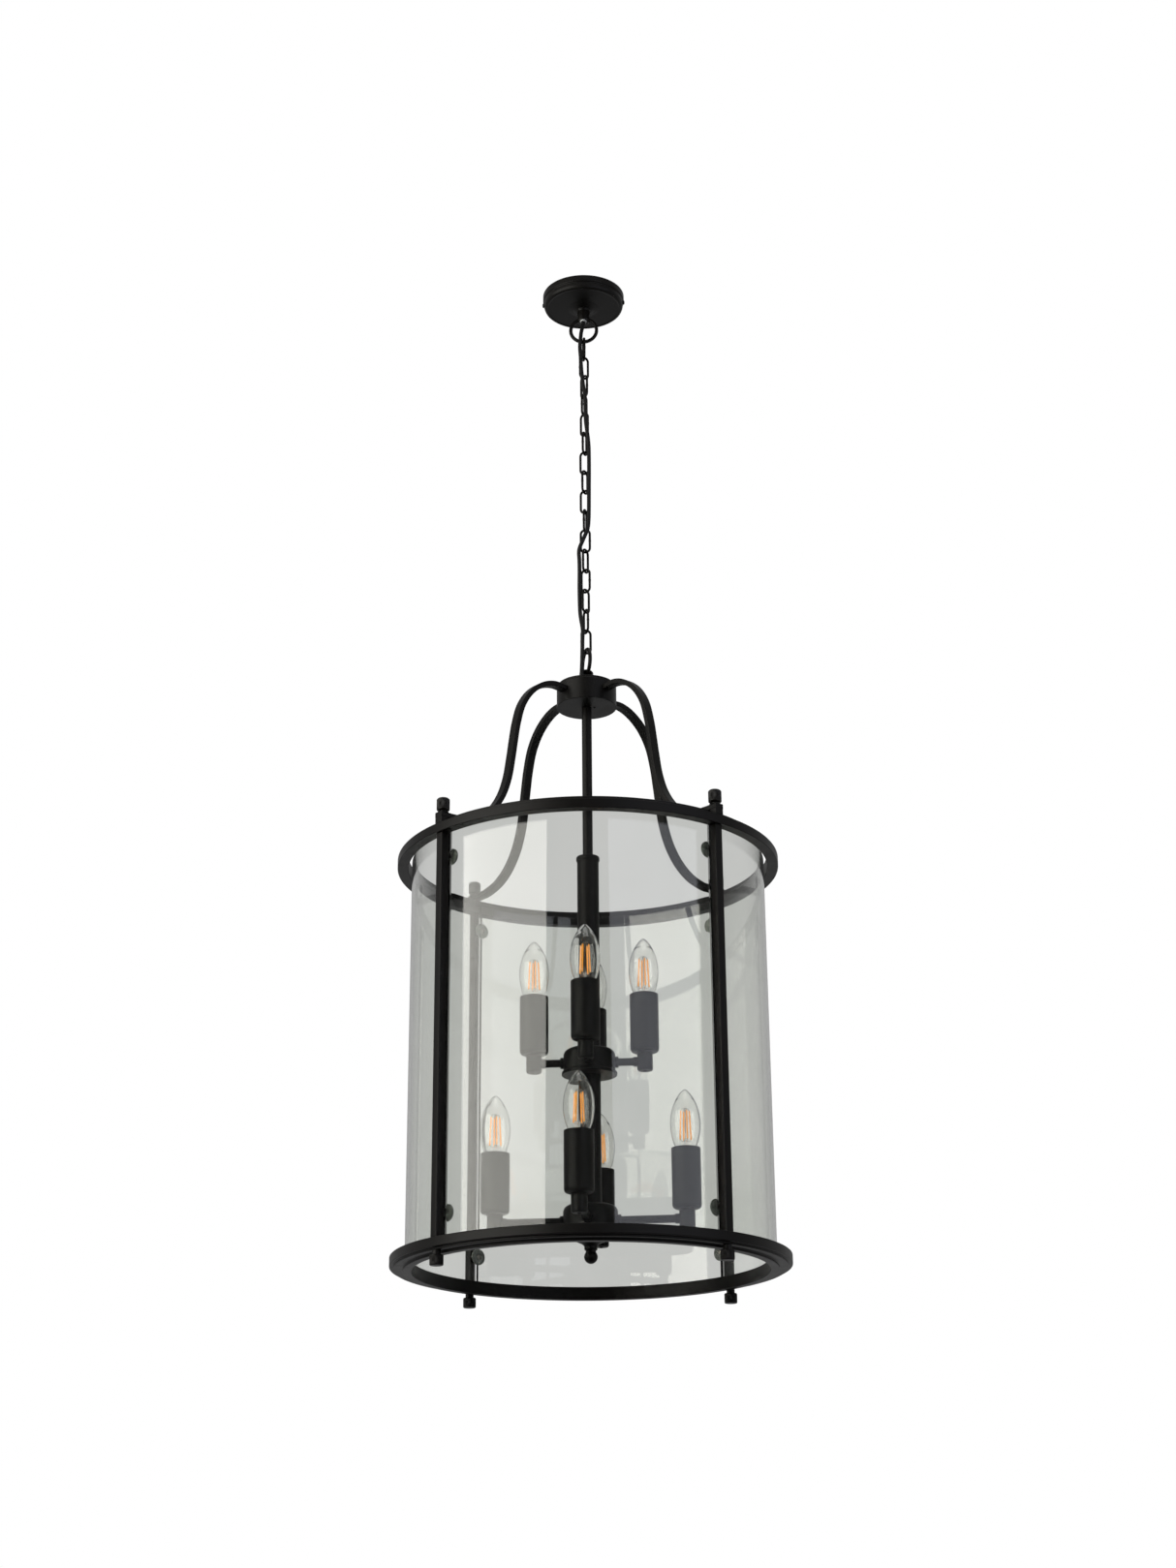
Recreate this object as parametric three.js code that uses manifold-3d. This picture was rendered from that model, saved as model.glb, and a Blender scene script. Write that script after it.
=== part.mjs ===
// A hanging lantern: a glass drum between two rings, hung by four crown arms, a chain and a ceiling rose,
// with eight candle lamps in two tiers on a central stem.
//
// Millimetres, +Z up. The origin is the middle of the ceiling face of the rose. The lantern's own sizes are
// heights above the underside of its bottom ring, which hangs DROP below the ceiling.

import * as THREE from 'three';
import { mergeVertices } from 'three/addons/utils/BufferGeometryUtils.js';
import Module from 'manifold-3d';

const wasm = await Module();
wasm.setup();

// ---------------------------------------------------------------- driving dimensions
const GAP = 0.3; // left between pieces that touch
const DROP = 1259; // ceiling to the underside of the bottom ring

const ROSE = { radius: 52.5, depth: 18.3, sheet: 1.3, nippleRadius: 4.8 };
const BRACKET = { halfLength: 45, width: 16, sheet: 2, tab: 11 };
const BOSS = { radius: 8, top: -20.9, bottom: -39.3 };

const LOOP = { radius: 16.7, wire: 2.3 }; // the ring at each end of the chain
const TOP_LOOP_Z = -50.3;

const LINK = { length: 33.85, width: 14.3, wire: 1.5 };
const LINK_TURNS = [-12, 60, -45, 28, -55, 20, -75, 30, -72, 13, -85, 28, -66, 38, -30, 72]; // degrees
const BOTTOM_LOOP_TURN = -20; // degrees
const FLEX_RADIUS = 2.5;

const DRUM = { radius: 225, postRadius: 217.6, glassRadius: 208, glassThickness: 4, slit: 4 };
const TOP_RING = { inner: 212, bottom: 468.6, rim: 479.4, lip: 214.5, lipTop: 485.8 };
const BOTTOM_RING = { inner: 200, top: 13, ledge: 5, innerStep: -2.6 };
const POST = { width: 10, footRadius: 7.5, footTop: -5, footBottom: -16.5, tenonRadius: 3 };
const CLIP = { heights: [41, 443], padRadius: 9.5, padInner: 200.4, padOuter: 203.3, studRadius: 1.5 };
const KNOB = { radius: 7.5, bottom: 495, top: 510, neckRadius: 4, screwRadius: 2.5 };
const ARM = { width: 11.5, thickness: 6.2, height: 695, seat: 486.3 };

const HUB = { radius: 36.3, bottom: 679, top: 709, bossRadius: 8.5, bossTop: 728 };
const STEM = { rodRadius: 6, sleeveRadius: 12.8, sleeveTop: 487, collarRadius: 13.8 };
const TUBE = { radius: 16.6, wall: 1.2, height: 69, floor: 2 };
const BULB = { radius: 17.5, shoulder: 4, tip: 63.5, capRadius: 7 };
const CUP = { radius: 9, height: 21, armBelowTube: 10.5 };
const UPPER = { name: 'upper', tubeBottom: 247.5, reach: 64, hubRadius: 30 };
const LOWER = { name: 'lower', tubeBottom: 65.5, reach: 109, hubRadius: 31 };
const LAMP_SIDES = ['front', 'right', 'back', 'left'];
const CORNERS = ['front_left', 'front_right', 'back_right', 'back_left'];

// The lower lamps are clamped a little round from the posts.
const TIER_TURNS = { upper: 0, lower: -2.7 }; // degrees

// The flex's way down through the chain, each point on the side of the links that it leans on.
const FLEX_ROUTE = [
  [0, -6.2, -39.6], [-0.6, -6.3, -47], [-2.6, -6.6, -56], [-3.6, -6.8, -65], [-4.6, -6, -78],
  [-3.8, -7.3, -92], [-3.2, -7.4, -106], [-2.2, -7, -120], [-0.8, -7.3, -134], [1.1, -7.7, -147],
  [1.7, -7.5, -161], [1.9, -7.4, -175], [2.4, -7.8, -189], [3.8, -8, -202], [5.2, -7.2, -216],
  [5.8, -6.5, -230], [5.8, -6.5, -257.5], [5.5, -6.6, -285], [5.2, -6.6, -312.5], [4.8, -6.6, -327],
  [3.4, -6.6, -340], [-2, -6.8, -354], [-7.5, -4.6, -367.5], [-7.4, -3.8, -381.5], [-7.3, -3.1, -395],
  [-7.6, -2.3, -423], [-7.1, -1.8, -450], [-5.6, -4.6, -464], [-3.6, -7, -478], [-4, -7.2, -492],
  [-4.2, -7.4, -505.5], [-4.5, -8.4, -521], [-5, -10.1, -536], [-5.2, -10.8, -544], [-5.2, -10.8, -549.5],
];

const BLACK = { color: 0x161412, roughness: 0.55, metalness: 0.6 };
const FLEX_BLACK = { color: 0x0f0f0f, roughness: 0.7, metalness: 0 };
const ZINC = { color: 0xb9b9b4, roughness: 0.4, metalness: 0.9 };
const CLEAR = { color: 0xdfe6e2, roughness: 0.05, metalness: 0, transparent: true, opacity: 0.3 };
const LAMP_GLASS = { color: 0xf2e3c2, roughness: 0.05, metalness: 0, transparent: true, opacity: 0.5 };

const radians = THREE.MathUtils.degToRad;
const lantern = new THREE.Group();
lantern.position.z = -DROP;
const object = new THREE.Group();
object.add(lantern);

// ---------------------------------------------------------------- shapes
function add(parent, name, geometry, look) {
  const mesh = new THREE.Mesh(geometry, new THREE.MeshStandardMaterial(look));
  mesh.name = name;
  parent.add(mesh);
  return mesh;
}

// A profile of [radius, height] points turned about Z, anticlockwise as seen with the axis on the left.
function turned(profile, sides) {
  const points = profile.map(([r, z]) => new THREE.Vector2(r, z));
  return new THREE.LatheGeometry(points, sides).rotateX(Math.PI / 2);
}

function disc(radius, bottom, top, sides) {
  return turned([[0, bottom], [radius, bottom], [radius, top], [0, top]], sides);
}

// A straight round bar between two points.
function bar(radius, from, to, sides) {
  const way = new THREE.Vector3().subVectors(to, from);
  const geometry = new THREE.CylinderGeometry(radius, radius, way.length(), sides);
  const turn = new THREE.Quaternion().setFromUnitVectors(new THREE.Vector3(0, 1, 0), way.clone().normalize());
  geometry.applyQuaternion(turn);
  return geometry.translate(...from.clone().add(to).multiplyScalar(0.5));
}

function solidOf(geometry) {
  const bare = geometry.clone();
  bare.deleteAttribute('normal');
  bare.deleteAttribute('uv');
  const welded = mergeVertices(bare);
  const corners = welded.index.array;
  const kept = [];
  for (let i = 0; i < corners.length; i += 3) {
    const [a, b, c] = corners.slice(i, i + 3);
    if (a !== b && b !== c && c !== a) kept.push(a, b, c);
  }
  return new wasm.Manifold(new wasm.Mesh({
    numProp: 3,
    vertProperties: new Float32Array(welded.getAttribute('position').array),
    triVerts: new Uint32Array(kept),
  }));
}

function geometryOf(solid) {
  const mesh = solid.getMesh();
  const geometry = new THREE.BufferGeometry();
  geometry.setAttribute('position', new THREE.BufferAttribute(mesh.vertProperties, mesh.numProp));
  geometry.setIndex(new THREE.BufferAttribute(mesh.triVerts, 1));
  geometry.computeVertexNormals();
  return geometry;
}

// One body made of the first list's shapes joined, less the second list's.
function built(joined, cut = []) {
  let solid = solidOf(joined[0]);
  for (const geometry of joined.slice(1)) solid = solid.add(solidOf(geometry));
  for (const geometry of cut) solid = solid.subtract(solidOf(geometry));
  return geometryOf(solid);
}

// A turn of 0 stands a link's or a loop's plane along Y, and 90 along X.
function turnedTo(geometry, turn) {
  return geometry.rotateZ(Math.PI / 2 - radians(turn));
}

function loopRing(wire, sides) {
  return new THREE.TorusGeometry(LOOP.radius, wire, sides, 24).rotateX(Math.PI / 2);
}

// The hole that a loop swings in, wider at its mouths by as much as the loop's wire bends away from its middle.
function loopHole(turn, height) {
  const profile = [-10, -6.5, -3, 0, 3, 6.5, 10].map((along) => {
    const bend = LOOP.radius - Math.sqrt(LOOP.radius ** 2 - along ** 2);
    return [LOOP.wire + 0.5 + bend, along];
  });
  const hole = turned([[0, -10], ...profile, [0, 10]], 12).rotateY(Math.PI / 2);
  return turnedTo(hole, turn).translate(0, 0, height);
}

// ---------------------------------------------------------------- ceiling rose
function ceilingBracket() {
  const { halfLength: x, sheet, tab, width } = BRACKET;
  const outline = new THREE.Shape([
    new THREE.Vector2(-x, 0), new THREE.Vector2(-x, -tab), new THREE.Vector2(sheet - x, -tab),
    new THREE.Vector2(sheet - x, -sheet), new THREE.Vector2(x - sheet, -sheet),
    new THREE.Vector2(x - sheet, -tab), new THREE.Vector2(x, -tab), new THREE.Vector2(x, 0),
  ]);
  return new THREE.ExtrudeGeometry(outline, { depth: width, bevelEnabled: false })
    .rotateX(Math.PI / 2).translate(0, width / 2, 0);
}

function ceilingRose() {
  const { radius: r, depth: d, sheet: t, nippleRadius } = ROSE;
  const hole = nippleRadius + 0.5;
  const outside = [
    [hole, -d - 2.3], [10, -d - 2.3], [14, -d - 0.7], [20, 0.5 - d], [r - 7, 0.9 - d], [r - 5, -d],
    [r - 2.5, 1.3 - d], [r - 1.3, -14], [r - 1.3, -9.2], [r, -8], [r, 0],
  ];
  const inside = [
    [r - t, 0], [r - t, -7.4], [r - t - 1.3, -8.6], [r - t - 1.3, -13.4], [r - 5.6, t + 0.6 - d],
    [20, 1.8 - d], [13.4, 0.7 - d], [9.6, -d - 1], [hole, -d - 1],
  ];
  return turned([...outside, ...inside, outside[0]], 36);
}

function loopBoss() {
  const body = turned([
    [0, BOSS.bottom], [BOSS.radius - 1.6, BOSS.bottom], [BOSS.radius, BOSS.bottom + 2.6],
    [BOSS.radius, BOSS.top - 2], [BOSS.radius + 1.4, BOSS.top], [ROSE.nippleRadius, BOSS.top],
    [ROSE.nippleRadius, -BRACKET.sheet - GAP], [0, -BRACKET.sheet - GAP],
  ], 20);
  return built([body], [loopHole(90, TOP_LOOP_Z + LOOP.radius)]);
}

// ---------------------------------------------------------------- chain and flex
// The middle line of a link: a stretched ring in the XZ plane, with most of its points round its two ends.
class LinkLine extends THREE.Curve {
  constructor() {
    super();
    this.bend = LINK.width / 2 - LINK.wire;
    this.straight = (LINK.length - LINK.width) / 2;
  }

  // t runs twice from the middle of a side, up or down round an end, to the middle of the other side.
  getPoint(t) {
    const side = t < 0.5 ? 1 : -1;
    const along = 2 * t - (t < 0.5 ? 0 : 1);
    const angle = Math.PI * THREE.MathUtils.clamp((along - 0.125) / 0.75, 0, 1);
    const height = Math.min(along, 1 - along, 0.125) / 0.125;
    const x = this.bend * Math.cos(angle);
    return new THREE.Vector3(side * x, 0, side * (height * this.straight + this.bend * Math.sin(angle)));
  }

  getUtoTmapping(u) {
    return u;
  }
}

function chain() {
  const pitch = LINK.length - 4 * LINK.wire - GAP;
  const loopBottom = TOP_LOOP_Z - LOOP.radius;
  let centre = loopBottom + LOOP.wire + 2 * LINK.wire + GAP - LINK.length / 2;
  add(object, 'top_loop', turnedTo(loopRing(LOOP.wire, 8), 90).translate(0, 0, TOP_LOOP_Z), BLACK);
  LINK_TURNS.forEach((turn, i) => {
    const link = turnedTo(new THREE.TubeGeometry(new LinkLine(), 16, LINK.wire, 6, true), turn);
    add(object, `chain_link_${String(i + 1).padStart(2, '0')}`, link.translate(0, 0, centre), BLACK);
    centre -= pitch;
  });
  const lastBottom = centre + pitch - LINK.length / 2 + LINK.wire;
  const loopCentre = lastBottom + LINK.wire + LOOP.wire + GAP - LOOP.radius;
  add(object, 'bottom_loop', turnedTo(loopRing(LOOP.wire, 8), BOTTOM_LOOP_TURN).translate(0, 0, loopCentre), BLACK);
  return loopCentre;
}

function flexCord() {
  const section = new THREE.Shape();
  section.absarc(0, 0, FLEX_RADIUS, 0, 2 * Math.PI);
  const line = new THREE.CatmullRomCurve3(FLEX_ROUTE.map((p) => new THREE.Vector3(...p)));
  return new THREE.ExtrudeGeometry(section, { steps: 74, curveSegments: 4, extrudePath: line });
}

// ---------------------------------------------------------------- crown
function topHub(loopCentre) {
  const { radius: r, bottom, top, bossRadius, bossTop } = HUB;
  const body = turned([
    [0, bottom], [r, bottom], [r, top - 3.5], [r - 1.2, top - 3.2], [r - 1.2, top - 0.8], [r - 2, top],
    [bossRadius, top], [bossRadius, bossTop - 2.4], [bossRadius - 2, bossTop], [0, bossTop],
  ], 36);
  return built([body], [loopHole(BOTTOM_LOOP_TURN, loopCentre + DROP - LOOP.radius)]);
}

// The bar's middle line, as [radius, height], from the hub out and down to the top ring.
const ARM_LINE = [
  [36.6, 695], [54, 695.6], [72, 689.5], [90, 675.5], [103.5, 655], [111, 630], [115.4, 606], [119, 584],
  [124.4, 557], [133.8, 532.5], [148.5, 512], [168, 497.5], [190, 490.7], [205, 489.5], [212, 489.4],
  [218, 489.4], [224.4, 489.4],
];

function crownArm() {
  const line = new THREE.CatmullRomCurve3(ARM_LINE.map(([r, z]) => new THREE.Vector3(r, 0, z)));
  const halfThick = ARM.thickness / 2;
  const halfWide = ARM.width / 2;
  const section = new THREE.Shape([
    new THREE.Vector2(-halfWide, -halfThick), new THREE.Vector2(halfWide, -halfThick),
    new THREE.Vector2(halfWide, halfThick), new THREE.Vector2(-halfWide, halfThick),
  ]);
  const strip = new THREE.ExtrudeGeometry(section, { steps: 24, extrudePath: line });
  const inner = TOP_RING.lip + GAP;
  const outer = ARM_LINE.at(-1)[0];
  const bottom = TOP_RING.rim + GAP;
  const block = new THREE.BoxGeometry(outer - inner, ARM.width, ARM.seat + 1 - bottom);
  block.translate((inner + outer) / 2, 0, (ARM.seat + 1 + bottom) / 2);
  const hole = disc(KNOB.screwRadius + GAP, bottom - 1, ARM.seat + 10, 10);
  return built([strip, block], [hole.translate(DRUM.postRadius, 0, 0)]);
}

function knob() {
  const { radius: r, bottom, top, neckRadius, screwRadius } = KNOB;
  const seat = ARM.seat + ARM.thickness + GAP;
  return turned([
    [0, TOP_RING.bottom + GAP], [screwRadius, TOP_RING.bottom + GAP], [screwRadius, seat], [neckRadius, seat],
    [neckRadius, bottom], [r - 1.2, bottom], [r, bottom + 1.2], [r, top - 1.6], [r - 1.6, top], [0, top],
  ], 12);
}

// ---------------------------------------------------------------- drum
function corner(index) {
  return radians(225 + 90 * index);
}

function cornerHoles(radius, bottom, top) {
  return CORNERS.map((_, i) => disc(radius, bottom, top, 10).translate(
    DRUM.postRadius * Math.cos(corner(i)), DRUM.postRadius * Math.sin(corner(i)), 0,
  ));
}

function topRing() {
  const { inner, bottom, rim, lip, lipTop } = TOP_RING;
  const r = DRUM.radius;
  const section = [[inner, bottom], [r, bottom], [r, rim], [lip, rim], [lip, lipTop], [inner, lipTop]];
  const ring = turned([...section, section[0]], 48);
  return built([ring], cornerHoles(KNOB.screwRadius + GAP, bottom - 1, rim + 1));
}

function bottomRing() {
  const { inner, top, ledge, innerStep } = BOTTOM_RING;
  const r = DRUM.radius;
  const channel = DRUM.glassRadius + 3;
  const lip = inner + 3;
  const section = [
    [inner, innerStep], [r - 15, innerStep], [r - 15, 0], [r - 4.5, 0], [r - 4.5, 2.5], [r, 2.5], [r, top],
    [channel, top], [channel, ledge], [lip, ledge], [lip, top - 0.5], [inner, top - 0.5],
  ];
  const ring = turned([...section, section[0]], 48);
  return built([ring], cornerHoles(POST.tenonRadius + GAP, innerStep - 1, top + 1));
}

// A square post with its foot below the bottom ring, and two clips that hold the edges of the glass.
function post() {
  const { width, footRadius, footTop, footBottom, tenonRadius } = POST;
  const r = DRUM.postRadius;
  const bottom = BOTTOM_RING.top + GAP;
  const top = TOP_RING.bottom - GAP;
  const shaft = new THREE.BoxGeometry(width, width, top - bottom).translate(r, 0, (top + bottom) / 2);
  const foot = turned([
    [0, footBottom], [footRadius - 0.8, footBottom], [footRadius, footBottom + 0.8], [footRadius, footTop],
    [tenonRadius + 1.8, footTop], [tenonRadius + 1.8, -GAP], [tenonRadius, -GAP], [tenonRadius, bottom + 2],
    [0, bottom + 2],
  ], 12).translate(r, 0, 0);
  const clips = CLIP.heights.flatMap((z) => [
    bar(CLIP.studRadius, new THREE.Vector3(CLIP.padInner + 1, 0, z), new THREE.Vector3(r, 0, z), 8),
    bar(CLIP.padRadius, new THREE.Vector3(CLIP.padInner, 0, z), new THREE.Vector3(CLIP.padOuter, 0, z), 12),
    bar(4.5, new THREE.Vector3(DRUM.glassRadius + 0.5, 0, z), new THREE.Vector3(r - 2, 0, z), 8),
  ]);
  return built([shaft, foot, ...clips]);
}

function glassPanel() {
  const half = Math.PI / 4 - DRUM.slit / 2 / DRUM.glassRadius;
  const outline = new THREE.Shape();
  outline.absarc(0, 0, DRUM.glassRadius, -half, half, false);
  outline.absarc(0, 0, DRUM.glassRadius - DRUM.glassThickness, half, -half, true);
  outline.closePath();
  const bottom = BOTTOM_RING.ledge + GAP;
  const height = TOP_RING.bottom + 8 - bottom;
  return new THREE.ExtrudeGeometry(outline, { depth: height, bevelEnabled: false, curveSegments: 15 })
    .translate(0, 0, bottom);
}

// ---------------------------------------------------------------- lamps
function stem() {
  const bottom = LOWER.tubeBottom + 7;
  const { rodRadius, sleeveRadius, sleeveTop, collarRadius } = STEM;
  return turned([
    [0, bottom], [sleeveRadius, bottom], [sleeveRadius, sleeveTop - 6], [collarRadius, sleeveTop - 5],
    [collarRadius, sleeveTop - 1], [collarRadius - 1, sleeveTop], [rodRadius, sleeveTop],
    [rodRadius, HUB.bottom - GAP], [0, HUB.bottom - GAP],
  ], 20);
}

// A tier's hub with its four arms and the cup under each lamp.
function lampCluster(tier, hub) {
  const armHeight = tier.tubeBottom - CUP.armBelowTube;
  const cupTop = tier.tubeBottom - GAP;
  const cupBottom = cupTop - CUP.height;
  const pieces = [hub];
  LAMP_SIDES.forEach((_, i) => {
    const angle = i * Math.PI / 2;
    const along = (r) => new THREE.Vector3(r * Math.cos(angle), r * Math.sin(angle), armHeight);
    const cup = turned([
      [0, cupBottom], [CUP.radius - 1.2, cupBottom], [CUP.radius, cupBottom + 1.5], [CUP.radius, cupTop],
      [0, cupTop],
    ], 12);
    pieces.push(bar(4.5, along(tier.hubRadius - 4), along(tier.reach), 8));
    pieces.push(bar(6.5, along(tier.hubRadius - 4), along(tier.hubRadius + 3.5), 10));
    pieces.push(cup.translate(...along(tier.reach).setZ(0)));
  });
  return built(pieces);
}

function upperCluster() {
  const r = UPPER.hubRadius;
  const bore = STEM.sleeveRadius + GAP;
  const section = [
    [bore, 222], [r + 2, 222], [r + 2, 225.5], [r, 226.5], [r, 246], [r - 1.5, 249.5], [r - 5, 252],
    [bore, 253],
  ];
  return lampCluster(UPPER, turned([...section, section[0]], 24));
}

// The lower hub also carries the cover dish under it and the ball that closes the stem.
function lowerCluster() {
  const r = LOWER.hubRadius;
  const ball = 7.65;
  const ballZ = 15;
  const profile = [[0, ballZ - ball]];
  for (let step = 1; step <= 5; step += 1) {
    const angle = -Math.PI / 2 + step * 0.46;
    profile.push([ball * Math.cos(angle), ballZ + ball * Math.sin(angle)]);
  }
  profile.push([6, 22], [7.4, 23], [7.4, 27], [22, 35], [r + 1, 39], [r + 1, 42.5], [r, 43.5], [r, 66]);
  profile.push([r - 1.5, 69.5], [r - 5, 72], [0, 72.2]);
  return lampCluster(LOWER, turned(profile, 24));
}

function candleTube() {
  const { radius: r, wall, height, floor } = TUBE;
  const bore = r - wall;
  return turned([
    [0, 0], [r - 4, 0], [r - 1.2, 1.2], [r, 4], [r, height], [bore, height], [bore, floor + 2],
    [bore - 2, floor], [0, floor],
  ], 14);
}

// A candle lamp, with heights measured from its shoulder, which stands just clear of the tube.
function bulb() {
  const r = BULB.radius;
  const cap = BULB.capRadius;
  return turned([
    [0, -38], [3, -38], [cap, -36], [cap, -18], [10.5, -10], [r * 0.77, 0], [r * 0.93, 10], [r, 22],
    [r * 0.955, 32], [r * 0.76, 43], [r * 0.46, 53], [r * 0.2, 59.5], [0, BULB.tip],
  ], 12);
}

// ---------------------------------------------------------------- assembly
add(object, 'ceiling_bracket', ceilingBracket(), ZINC);
add(object, 'ceiling_rose', ceilingRose(), BLACK);
add(object, 'loop_boss', loopBoss(), BLACK);
const bottomLoopCentre = chain();
add(object, 'flex_cord', flexCord(), FLEX_BLACK);

add(lantern, 'top_hub', topHub(bottomLoopCentre), BLACK);
add(lantern, 'stem', stem(), BLACK);
add(lantern, 'top_ring', topRing(), BLACK);
add(lantern, 'bottom_ring', bottomRing(), BLACK);

CORNERS.forEach((name, i) => {
  add(lantern, `crown_arm_${name}`, crownArm(), BLACK).rotation.z = corner(i);
  add(lantern, `post_${name}`, post(), BLACK).rotation.z = corner(i);
  const nut = add(lantern, `knob_${name}`, knob(), BLACK);
  nut.position.set(DRUM.postRadius * Math.cos(corner(i)), DRUM.postRadius * Math.sin(corner(i)), 0);
});

LAMP_SIDES.forEach((name, i) => {
  add(lantern, `glass_panel_${name}`, glassPanel(), CLEAR).rotation.z = radians(-90 + 90 * i);
});

for (const [tier, cluster] of [[UPPER, upperCluster()], [LOWER, lowerCluster()]]) {
  const group = new THREE.Group();
  group.rotation.z = radians(TIER_TURNS[tier.name]);
  lantern.add(group);
  add(group, `${tier.name}_cluster`, cluster, BLACK);
  LAMP_SIDES.forEach((name, i) => {
    const angle = radians(-90 + 90 * i);
    const x = tier.reach * Math.cos(angle);
    const y = tier.reach * Math.sin(angle);
    add(group, `candle_tube_${tier.name}_${name}`, candleTube(), BLACK).position.set(x, y, tier.tubeBottom);
    const lamp = add(group, `bulb_${tier.name}_${name}`, bulb(), LAMP_GLASS);
    lamp.position.set(x, y, tier.tubeBottom + TUBE.height + BULB.shoulder);
  });
}

export default object;
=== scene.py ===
"""A hanging lantern: a glass drum in a black powder-coated frame, with eight candle lamps, hung on a chain.

Sizes are millimetres on the lantern's own drawing and are turned to metres as each mesh is made. Its heights
count from the underside of its bottom ring, which hangs DROP below the ceiling.
"""

import logging
import math
from collections.abc import Callable, Iterable, Sequence
from dataclasses import dataclass, field
from enum import Enum

import bmesh
import bpy
from mathutils import Matrix, Vector


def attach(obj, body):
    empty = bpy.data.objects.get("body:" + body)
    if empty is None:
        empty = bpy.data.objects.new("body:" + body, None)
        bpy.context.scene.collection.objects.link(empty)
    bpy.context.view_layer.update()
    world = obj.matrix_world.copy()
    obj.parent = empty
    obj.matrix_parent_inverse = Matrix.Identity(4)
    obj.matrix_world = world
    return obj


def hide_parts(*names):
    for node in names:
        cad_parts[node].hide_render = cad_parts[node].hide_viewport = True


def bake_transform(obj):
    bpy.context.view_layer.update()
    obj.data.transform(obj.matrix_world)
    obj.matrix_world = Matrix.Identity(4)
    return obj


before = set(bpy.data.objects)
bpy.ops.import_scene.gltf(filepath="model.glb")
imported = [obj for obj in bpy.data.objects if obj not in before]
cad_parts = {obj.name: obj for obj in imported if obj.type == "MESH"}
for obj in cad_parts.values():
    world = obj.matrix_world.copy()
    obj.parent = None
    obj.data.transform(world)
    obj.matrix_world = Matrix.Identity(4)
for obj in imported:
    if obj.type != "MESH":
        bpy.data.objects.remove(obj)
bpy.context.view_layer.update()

LOG = logging.getLogger("lantern")

MM = 0.001
DROP = 1259.0
GAP = 0.3
LINK_TURNS = (-12, 60, -45, 28, -55, 20, -75, 30, -72, 13, -85, 28, -66, 38, -30, 72)
TOP_LOOP_Z = -50.3
BOTTOM_LOOP_TURN = -20.0
LOOP_RADIUS = 16.7
LOOP_WIRE = 2.3
LINK_LENGTH = 33.85
LINK_WIRE = 1.5
LINK_PITCH = LINK_LENGTH - 4 * LINK_WIRE - GAP
FIRST_LINK_Z = TOP_LOOP_Z - LOOP_RADIUS + LOOP_WIRE + 2 * LINK_WIRE + GAP - LINK_LENGTH / 2
BOTTOM_LOOP_Z = (
    FIRST_LINK_Z - 15 * LINK_PITCH - LINK_LENGTH / 2 + 2 * LINK_WIRE + LOOP_WIRE + GAP - LOOP_RADIUS
)
POST_RADIUS = 217.6
NUT_RADIUS = 7.5
KNURL_TEETH = 36
KNURL_DEPTH = 0.045
CLIP_HEIGHTS = {"lower": 41.0, "upper": 443.0}
CREASE = 38.0

# The flex's way down through the chain, each point on the side of the links that it leans on.
FLEX_ROUTE = (
    (0, -6.2, -39.6), (-0.6, -6.3, -47), (-2.6, -6.6, -56), (-3.6, -6.8, -65), (-4.6, -6, -78),
    (-3.8, -7.3, -92), (-3.2, -7.4, -106), (-2.2, -7, -120), (-0.8, -7.3, -134), (1.1, -7.7, -147),
    (1.7, -7.5, -161), (1.9, -7.4, -175), (2.4, -7.8, -189), (3.8, -8, -202), (5.2, -7.2, -216),
    (5.8, -6.5, -230), (5.8, -6.5, -257.5), (5.5, -6.6, -285), (5.2, -6.6, -312.5), (4.8, -6.6, -327),
    (3.4, -6.6, -340), (-2, -6.8, -354), (-7.5, -4.6, -367.5), (-7.4, -3.8, -381.5), (-7.3, -3.1, -395),
    (-7.6, -2.3, -423), (-7.1, -1.8, -450), (-5.6, -4.6, -464), (-3.6, -7, -478), (-4, -7.2, -492),
    (-4.2, -7.4, -505.5), (-4.5, -8.4, -521), (-5, -10.1, -536), (-5.2, -10.8, -544), (-5.2, -10.8, -549.5),
)

# The crown bar's middle line, as (radius, height), from the hub out and down to the top ring.
ARM_LINE = (
    (36.6, 695), (54, 695.6), (72, 689.5), (90, 675.5), (103.5, 655), (111, 630), (115.4, 606), (119, 584),
    (124.4, 557), (133.8, 532.5), (148.5, 512), (168, 497.5), (190, 490.7), (205, 489.5), (212, 489.4),
    (218, 489.4), (224.4, 489.4),
)

Point = tuple[float, float, float]
Pair = tuple[float, float]


class Body(Enum):
    """The bodies of the model that the pieces ride on, from the ceiling down."""

    CEILING = "ceiling_mount"
    TOP_LOOP = "top_loop"
    CHAIN = "chain"
    BOTTOM_LOOP = "bottom_loop"
    LANTERN = "lantern"


class Corner(Enum):
    """The four post positions, each with its direction in degrees."""

    FRONT_LEFT = 225
    FRONT_RIGHT = 315
    BACK_RIGHT = 45
    BACK_LEFT = 135


class Side(Enum):
    """The four lamp and glass positions, each with its direction in degrees."""

    FRONT = -90
    RIGHT = 0
    BACK = 90
    LEFT = 180


# ---------------- finishes
def linear(colour: str) -> tuple[float, float, float, float]:
    """Turns an sRGB hex colour into linear values.

    Args:
        colour: Six hex digits with a leading #.

    Returns:
        Red, green, blue and an alpha of 1.
    """
    parts = [int(colour[i : i + 2], 16) / 255 for i in (1, 3, 5)]
    red, green, blue = (p / 12.92 if p <= 0.04045 else ((p + 0.055) / 1.055) ** 2.4 for p in parts)
    return red, green, blue, 1.0


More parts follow.
